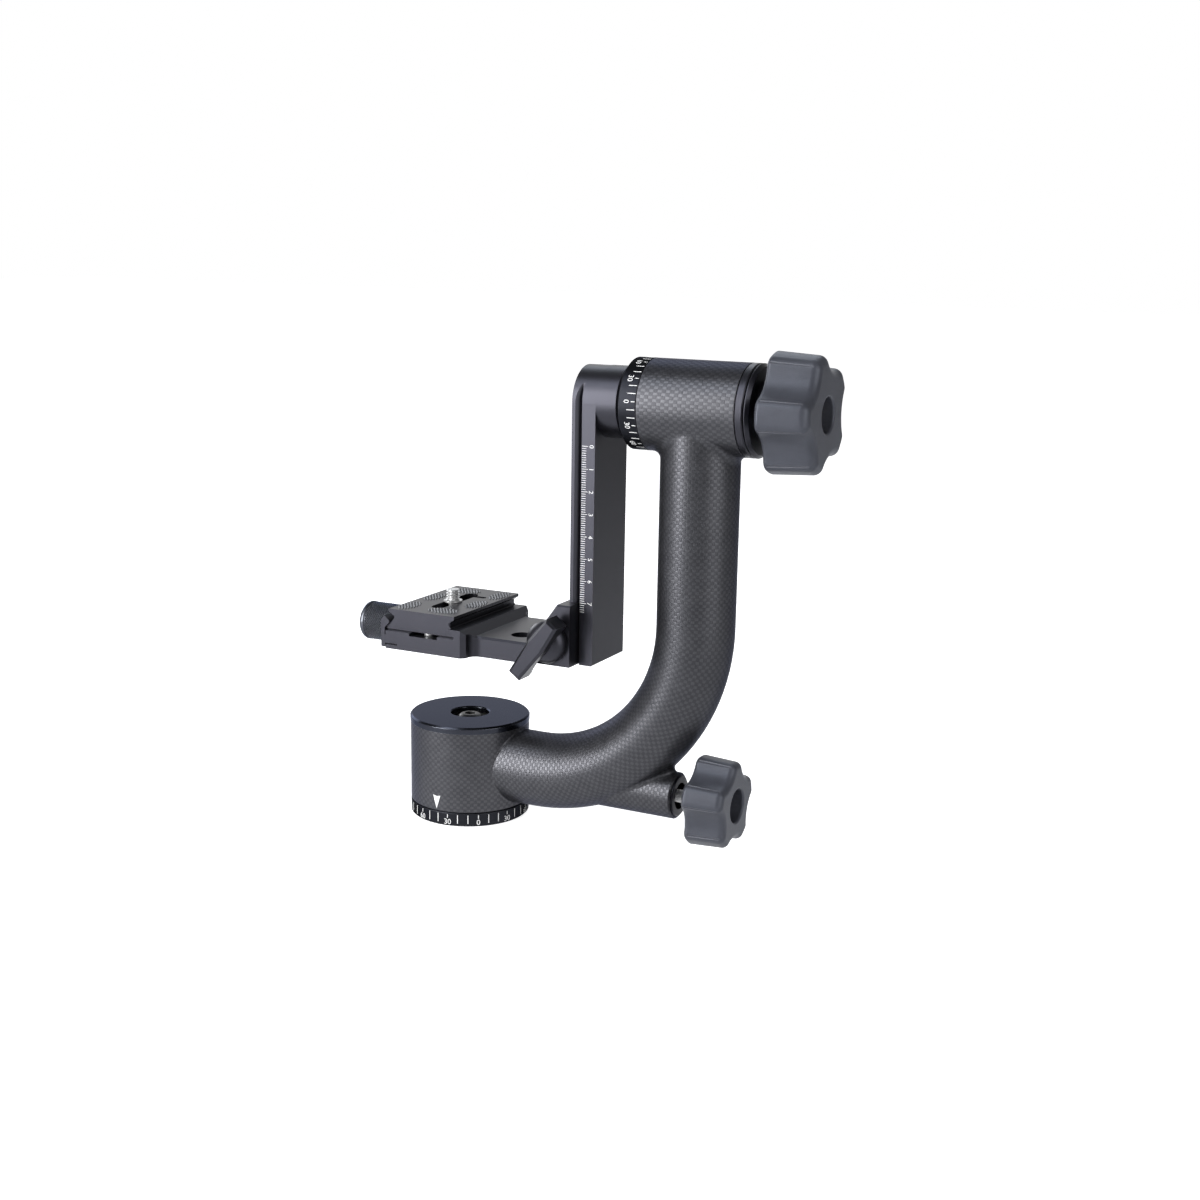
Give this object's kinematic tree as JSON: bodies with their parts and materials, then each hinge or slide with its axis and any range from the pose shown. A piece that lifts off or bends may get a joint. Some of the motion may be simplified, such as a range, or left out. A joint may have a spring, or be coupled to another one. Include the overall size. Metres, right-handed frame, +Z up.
{
  "type": "gimbal tripod head",
  "caption": "Cantilevered gimbal head: a moulded arm pans on a tripod base and carries a swing bar with a sliding clamp platform for a long lens.",
  "frame": {"origin": "on the pan axis, at the base's lower face, where it stands on the tripod", "axes": "+Z up along the pan axis, +X from the pan axis towards the upright arm and along the tilt axis, +Y away from the rail lever"},
  "size_m": [0.2306, 0.0685, 0.2261],
  "materials": {
    "carbon": "satin woven carbon fibre",
    "black_anodised": "satin black anodised",
    "knob_plastic": "matte moulded",
    "bright_steel": "bright",
    "black_steel": "black oxide",
    "bearing_steel": "ground",
    "brass": "turned",
    "rubber": "ribbed matte",
    "brake_plastic": "smooth",
    "lining": "fibrous"
  },
  "bodies": {
    "base": {"pan_base": "black_anodised", "pan_spindle": "black_anodised", "thread_insert": "bright_steel", "spindle_screws": "bright_steel", "preload_washer": "bright_steel", "retaining_bolt": "black_steel"},
    "arm": {"arm_shell": "carbon", "pan_liner": "black_anodised", "pan_bearing_lower": "bearing_steel", "pan_bearing_upper": "bearing_steel", "top_cap": "black_anodised", "tilt_liner": "black_anodised", "tilt_bearing_inner": "bearing_steel", "tilt_bearing_outer": "bearing_steel", "housing_ring": "black_anodised", "lock_plug": "black_anodised"},
    "pan_brake": {"brake_pad": "brake_plastic", "brake_rod": "bright_steel"},
    "pan_knob": {"pan_knob": "knob_plastic", "pan_knob_stud": "bright_steel"},
    "swing": {"swing_bar": "black_anodised", "tilt_spacer": "black_anodised", "tilt_dial": "black_anodised", "friction_lining": "lining", "tilt_spindle": "bright_steel", "bar_screws": "black_steel", "bar_stop_screw": "bright_steel"},
    "tilt_clamp": {"clamp_collar": "black_anodised"},
    "tilt_knob": {"tilt_knob": "knob_plastic", "tilt_knob_nut": "brass"},
    "platform": {"platform_bracket": "black_anodised", "guide_pins": "bright_steel", "plate_stop_pin": "bright_steel", "jaw_springs": "bright_steel"},
    "rail_jaw": {"rail_jaw": "black_anodised"},
    "rail_lever": {"rail_lever": "black_anodised", "lever_stud": "bright_steel"},
    "jaw": {"clamp_jaw": "black_anodised"},
    "clamp_knob": {"clamp_knob": "black_anodised", "clamp_stud": "bright_steel"},
    "plate": {"quick_plate": "black_anodised", "grip_pads": "rubber", "plate_stop_screws": "bright_steel"},
    "screw_slider": {"screw_washer": "bright_steel"},
    "camera_screw": {"camera_screw": "bright_steel"}
  },
  "joints": [
    {"name": "pan", "type": "hinge", "parent": "base", "child": "arm", "pos_m": [0, 0, 0.0066], "axis": [0, 0, 1], "continuous": true},
    {"name": "pan_brake", "type": "slide", "parent": "arm", "child": "pan_brake", "axis": [1, 0, 0], "range_m": [0, 0.002]},
    {"name": "pan_lock", "type": "hinge", "parent": "pan_brake", "child": "pan_knob", "pos_m": [0.1193, 0, 0.0243], "axis": [1, 0, 0], "range_deg": [0, 720]},
    {"name": "tilt", "type": "hinge", "parent": "arm", "child": "swing", "pos_m": [0.0938, 0, 0.2002], "axis": [1, 0, 0], "continuous": true},
    {"name": "tilt_clamp", "type": "slide", "parent": "swing", "child": "tilt_clamp", "axis": [1, 0, 0], "range_m": [0, 0.0015]},
    {"name": "tilt_lock", "type": "hinge", "parent": "tilt_clamp", "child": "tilt_knob", "pos_m": [0.1497, 0, 0.2002], "axis": [1, 0, 0], "range_deg": [0, 360]},
    {"name": "platform_slide", "type": "slide", "parent": "swing", "child": "platform", "axis": [0, 0, 1], "range_m": [0, 0.07]},
    {"name": "rail_jaw", "type": "slide", "parent": "platform", "child": "rail_jaw", "axis": [0, -1, 0], "range_m": [0, 0.000625]},
    {"name": "rail_lever", "type": "hinge", "parent": "rail_jaw", "child": "rail_lever", "pos_m": [0.0548, -0.0238, 0.0943], "axis": [0, -1, 0], "range_deg": [0, 180]},
    {"name": "jaw_slide", "type": "slide", "parent": "platform", "child": "jaw", "axis": [-1, 0, 0], "range_m": [0, 0.004]},
    {"name": "clamp_turn", "type": "hinge", "parent": "jaw", "child": "clamp_knob", "pos_m": [-0.0368, 0, 0.0864], "axis": [-1, 0, 0], "range_deg": [0, 1440]},
    {"name": "plate_slide", "type": "slide", "parent": "platform", "child": "plate", "axis": [0, 1, 0], "range_m": [-0.022, 0.022]},
    {"name": "screw_slide", "type": "slide", "parent": "plate", "child": "screw_slider", "axis": [0, 1, 0], "range_m": [-0.01, 0.012]},
    {"name": "screw_turn", "type": "hinge", "parent": "screw_slider", "child": "camera_screw", "pos_m": [-0.0094, 0, 0.1], "axis": [0, 0, 1], "continuous": true}
  ],
  "couplings": [
    {"joint": "pan_lock", "follows": "pan_brake", "rad_per_m": 6283.2},
    {"joint": "tilt_lock", "follows": "tilt_clamp", "rad_per_m": 4188.8},
    {"joint": "rail_lever", "follows": "rail_jaw", "rad_per_m": 5026.5},
    {"joint": "clamp_turn", "follows": "jaw_slide", "rad_per_m": 6283.2}
  ]
}
